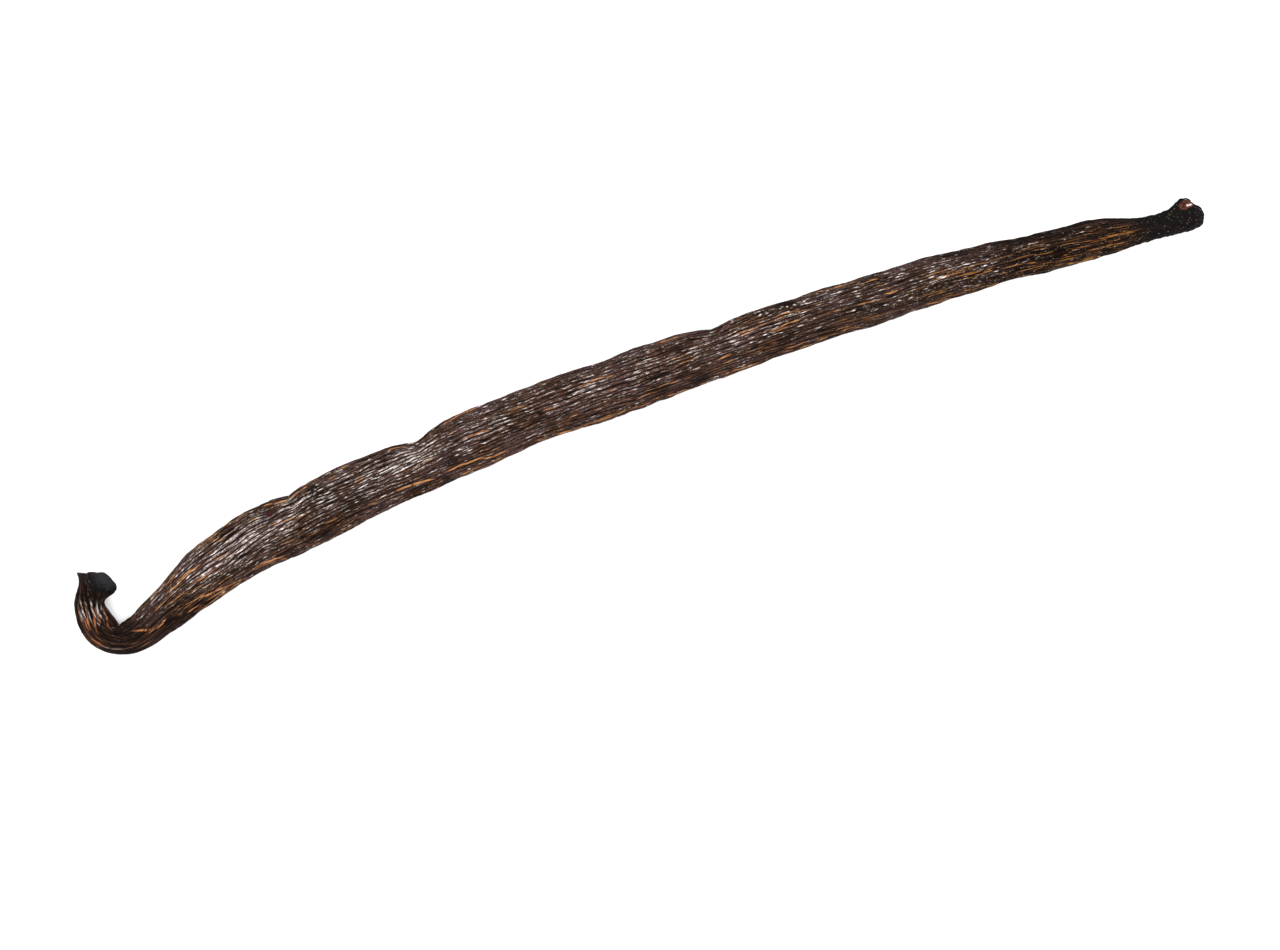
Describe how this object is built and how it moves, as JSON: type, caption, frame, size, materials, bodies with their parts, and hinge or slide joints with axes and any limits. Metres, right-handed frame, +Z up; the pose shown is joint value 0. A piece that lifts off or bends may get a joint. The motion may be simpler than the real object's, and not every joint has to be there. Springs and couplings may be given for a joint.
{
  "type": "vanilla pod",
  "caption": "Cured vanilla pod: a long flattened seed pod with a hooked stalk end, lobed edge, narrow neck and small end knob, lying on its belly.",
  "frame": {"origin": "middle of the bounding box's underside, on the surface that the pod lies on", "axes": "+X from the hooked stalk end to the knob, +Z up through the pod's thickness, +Y towards the lobed edge that the hook opens to"},
  "size_m": [0.1522, 0.0132, 0.0052],
  "materials": {
    "pod_skin": "oily, finely wrinkled dark brown skin with straw-coloured fibres"
  },
  "bodies": {
    "root": {"pod": "pod_skin"}
  },
  "joints": []
}
